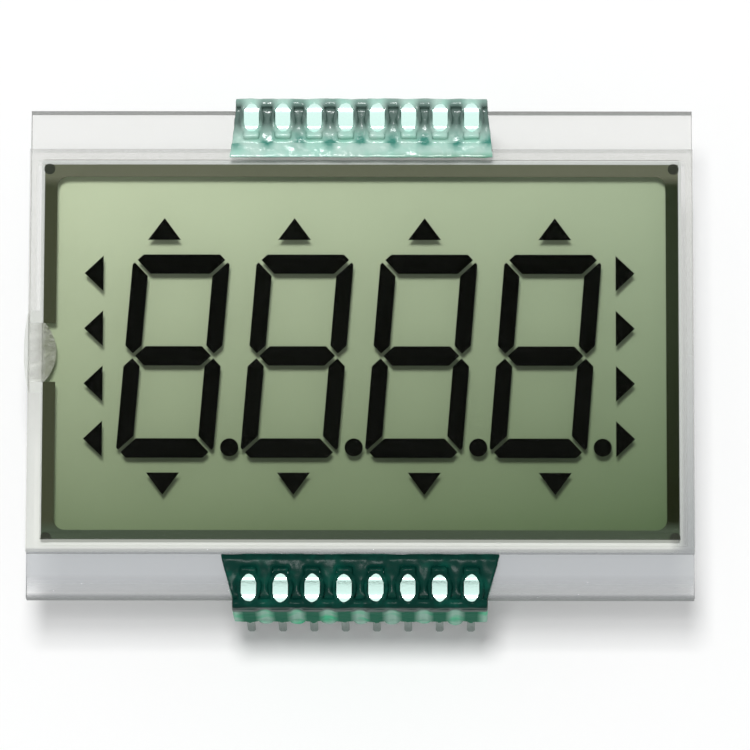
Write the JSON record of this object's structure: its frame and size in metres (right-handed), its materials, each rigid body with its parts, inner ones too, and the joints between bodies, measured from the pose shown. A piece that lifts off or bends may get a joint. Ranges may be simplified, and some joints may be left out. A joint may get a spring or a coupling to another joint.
{
  "type": "segment lcd display",
  "caption": "Reflective segment display panel with large leaning digits, points and pointer arrows, and clip-on pins glued along two glass ledges.",
  "frame": {"origin": "midway between the two pin rows, in the plane of the pin tips", "axes": "+X along the digits, +Y up the display, +Z out of the viewing face towards the viewer"},
  "size_m": [0.0423, 0.033, 0.0105],
  "materials": {
    "reflector_foil": "matt silvered film",
    "rear_polarizing_film": "tinted polarizing film",
    "rear_plate_glass": "clear float glass with cut edges",
    "cell_seal": "printed epoxy, dark under the polarizers",
    "port_plug": "cloudy cured resin",
    "liquid_crystal": "clear fluid between the plates",
    "dark_segment": "segments shown driven dark",
    "conducting_film": "clear conducting film",
    "silver_dot": "silver-filled paste",
    "front_plate_glass": "clear float glass with cut edges",
    "front_polarizing_film": "glossy polarizing film",
    "tinned_pin": "bright tin plate on bronze strip",
    "green_glue": "clear green cured resin"
  },
  "bodies": {
    "root": {"reflector": "reflector_foil", "rear_polarizer": "rear_polarizing_film", "rear_glass": "rear_plate_glass", "perimeter_seal": "cell_seal", "end_seal": "port_plug", "liquid_crystal": "liquid_crystal", "digit_1": "dark_segment", "digit_2": "dark_segment", "digit_3": "dark_segment", "digit_4": "dark_segment", "arrows_top": "dark_segment", "arrows_bottom": "dark_segment", "arrows_left": "dark_segment", "arrows_right": "dark_segment", "common_film_1": "conducting_film", "common_film_2": "conducting_film", "common_film_3": "conducting_film", "common_film_4": "conducting_film", "transfer_dot_1": "silver_dot", "transfer_dot_2": "silver_dot", "transfer_dot_3": "silver_dot", "transfer_dot_4": "silver_dot", "front_glass": "front_plate_glass", "front_polarizer": "front_polarizing_film", "contact_pads_lower": "conducting_film", "contact_pads_upper": "conducting_film", "pin_01": "tinned_pin", "pin_02": "tinned_pin", "pin_03": "tinned_pin", "pin_04": "tinned_pin", "pin_05": "tinned_pin", "pin_06": "tinned_pin", "pin_07": "tinned_pin", "pin_08": "tinned_pin", "pin_09": "tinned_pin", "pin_10": "tinned_pin", "pin_11": "tinned_pin", "pin_12": "tinned_pin", "pin_13": "tinned_pin", "pin_14": "tinned_pin", "pin_15": "tinned_pin", "pin_16": "tinned_pin", "pin_glue_lower": "green_glue", "pin_glue_upper": "green_glue"}
  },
  "joints": []
}
